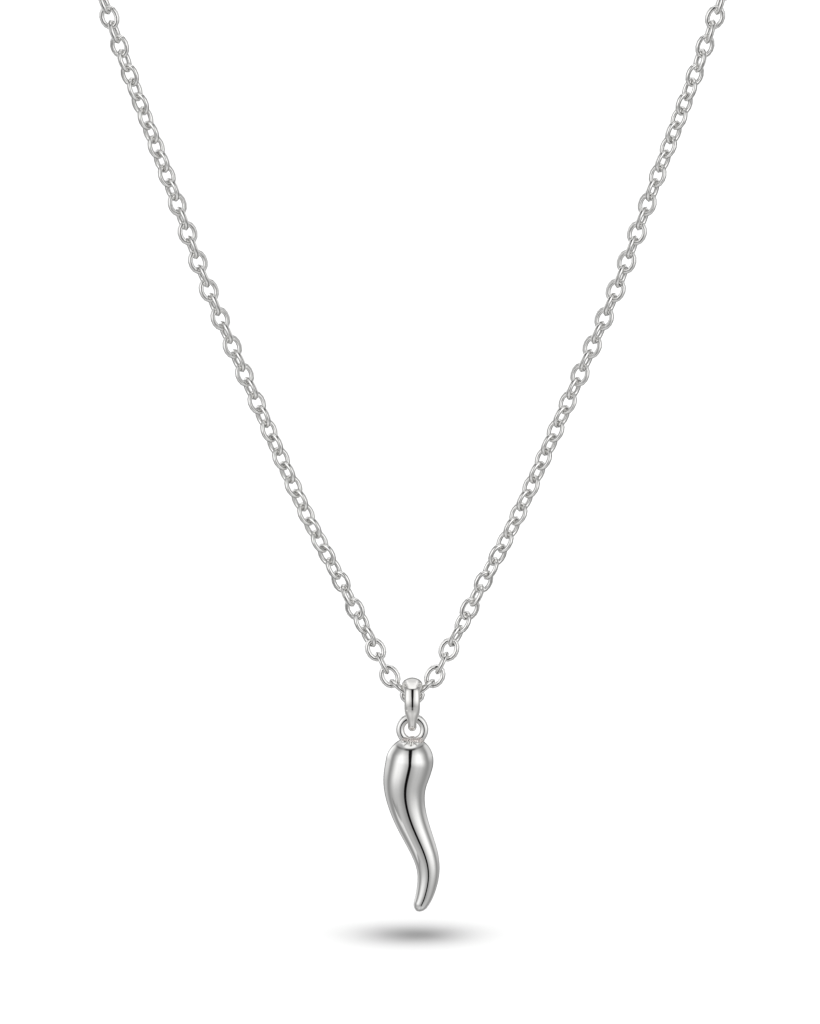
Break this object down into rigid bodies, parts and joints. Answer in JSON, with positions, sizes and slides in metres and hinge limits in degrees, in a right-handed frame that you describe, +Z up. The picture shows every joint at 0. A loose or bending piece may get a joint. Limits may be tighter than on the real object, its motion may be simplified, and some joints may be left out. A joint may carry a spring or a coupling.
{
  "type": "cornicello horn pendant necklace",
  "caption": "Polished silver horn charm with an S-curve, hung by a soldered eye ring and a domed tapering bail from an oval cable chain.",
  "frame": {"origin": "middle of the clasp, where the chain lies on the nape of the neck", "axes": "+Z up as worn, -Y the wearer's front, +X to the right as seen from the front"},
  "size_m": [0.0992, 0.091, 0.1484],
  "materials": {
    "chain_silver": "polished",
    "clasp_silver": "polished",
    "bail_silver": "mirror polished",
    "horn_silver": "mirror polished"
  },
  "bodies": {
    "chain": {"chain_left": "chain_silver", "chain_right": "chain_silver", "clasp": "clasp_silver"},
    "bail": {"bail": "bail_silver"},
    "horn": {"horn": "horn_silver"}
  },
  "joints": [
    {"name": "bail_swing", "type": "hinge", "parent": "chain", "child": "bail", "pos_m": [0, -0.087, -0.12009], "axis": [1, 0, 0], "range_deg": [-12, 12]},
    {"name": "horn_swing", "type": "hinge", "parent": "bail", "child": "horn", "pos_m": [0, -0.087, -0.12518], "axis": [0, 1, 0], "range_deg": [-60, 60]}
  ]
}
